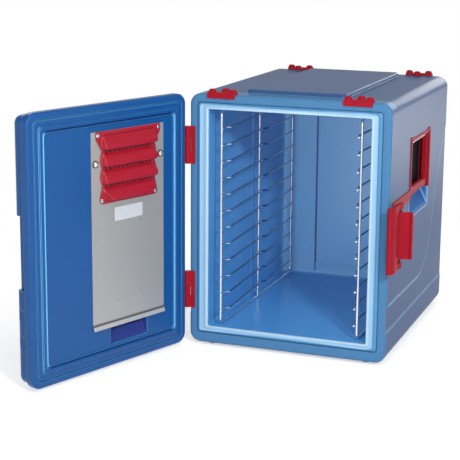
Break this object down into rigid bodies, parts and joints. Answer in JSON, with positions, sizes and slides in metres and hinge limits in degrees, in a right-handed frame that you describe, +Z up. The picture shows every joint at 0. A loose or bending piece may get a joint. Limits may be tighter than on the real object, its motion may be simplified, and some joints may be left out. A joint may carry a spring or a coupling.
{
  "type": "heated food transport box",
  "caption": "Front-loading insulated food transport box on rubber feet, door open with a fan heater, wire pan racks, drop handles and a draw latch.",
  "frame": {"origin": "middle of the flat underside of the body, above the feet", "axes": "+X to the right seen from the loading side, +Y to the rear, +Z up; the loading mouth faces -Y"},
  "size_m": [0.7417, 1.0579, 0.6145],
  "materials": {
    "shell_blue": "moulded blue plastic with a soft sheen and a fine grain",
    "liner_blue": "smooth moulded blue plastic inside the cavity",
    "seal_grey_blue": "pale blue soft moulded seal",
    "red_plastic": "moulded red nylon, half gloss",
    "satin_steel": "satin stainless sheet",
    "bright_steel": "bright electropolished stainless wire and pins",
    "zinc_cast": "plain cast and pressed metal",
    "foam": "rigid insulating foam, hidden inside the walls",
    "foot_rubber": "black moulded rubber",
    "black_plastic": "black fine-grained plastic",
    "amber_lens": "clear amber lens"
  },
  "bodies": {
    "cabinet": {"body_outer_shell": "shell_blue", "body_insulation": "foam", "body_inner_liner": "liner_blue", "opening_seal": "seal_grey_blue", "foot_front_left": "foot_rubber", "stacking_corner_front_left": "red_plastic", "foot_front_right": "foot_rubber", "stacking_corner_front_right": "red_plastic", "foot_rear_left": "foot_rubber", "stacking_corner_rear_left": "red_plastic", "foot_rear_right": "foot_rubber", "stacking_corner_rear_right": "red_plastic", "rack_left": "bright_steel", "handle_tray_left": "red_plastic", "handle_pin_left": "bright_steel", "rack_right": "bright_steel", "handle_tray_right": "red_plastic", "handle_pin_right": "bright_steel", "hinge_body_leaf_upper": "red_plastic", "hinge_pin_upper": "bright_steel", "hinge_body_leaf_lower": "red_plastic", "hinge_pin_lower": "bright_steel", "latch_base": "red_plastic", "latch_pivot_pin": "bright_steel"},
    "door": {"door_outer_shell": "shell_blue", "door_insulation": "foam", "door_inner_panel": "shell_blue", "hinge_door_leaf_upper": "red_plastic", "hinge_door_leaf_lower": "red_plastic", "air_guide_plate": "satin_steel", "air_louvre": "red_plastic", "louvre_screws": "bright_steel", "plate_fasteners": "bright_steel", "plate_rivets": "bright_steel", "blank_plate": "satin_steel", "fan_motor": "zinc_cast", "heating_element": "satin_steel", "thermostat_probe": "bright_steel", "control_panel": "black_plastic", "mains_inlet": "black_plastic", "pilot_lamp": "amber_lens"},
    "latch_lever": {"latch_lever": "red_plastic", "latch_crank_pin": "bright_steel"},
    "latch_hook": {"latch_hook": "red_plastic"},
    "handle_left": {"handle_bail_left": "red_plastic"},
    "handle_right": {"handle_bail_right": "red_plastic"},
    "fan_wheel": {"fan_impeller": "zinc_cast"},
    "temperature_dial": {"temperature_knob": "black_plastic"},
    "power_rocker": {"power_switch": "black_plastic"}
  },
  "joints": [
    {"name": "door_hinge", "type": "hinge", "parent": "cabinet", "child": "door", "pos_m": [-0.244, -0.302, 0.2985], "axis": [0, 0, -1], "range_deg": [-110, 70]},
    {"name": "latch_lever_pivot", "type": "hinge", "parent": "cabinet", "child": "latch_lever", "pos_m": [0.252, -0.269, 0.296], "axis": [0, 0, -1], "range_deg": [-50, 45]},
    {"name": "latch_hook_pivot", "type": "hinge", "parent": "latch_lever", "child": "latch_hook", "pos_m": [0.25778, -0.26211, 0.296], "axis": [0, 0, 1], "range_deg": [-53, 47.7]},
    {"name": "handle_left_pivot", "type": "hinge", "parent": "cabinet", "child": "handle_left", "pos_m": [-0.2315, -0.0095, 0.478], "axis": [0, 1, 0], "range_deg": [0, 95]},
    {"name": "handle_right_pivot", "type": "hinge", "parent": "cabinet", "child": "handle_right", "pos_m": [0.2315, -0.0095, 0.478], "axis": [0, -1, 0], "range_deg": [0, 95]},
    {"name": "fan_spin", "type": "hinge", "parent": "door", "child": "fan_wheel", "pos_m": [-0.32633, -0.47849, 0.217], "axis": [0.9397, -0.342, 0], "continuous": true},
    {"name": "temperature_turn", "type": "hinge", "parent": "door", "child": "temperature_dial", "pos_m": [-0.40599, -0.6155, 0.406], "axis": [-0.9397, 0.342, 0], "range_deg": [0, 270]},
    {"name": "power_rocker", "type": "hinge", "parent": "door", "child": "power_rocker", "pos_m": [-0.39304, -0.59893, 0.364], "axis": [0.342, 0.9397, 0], "range_deg": [0, 14]}
  ],
  "couplings": [
    {"joint": "latch_hook_pivot", "follows": "latch_lever_pivot", "ratio": 1.06}
  ]
}
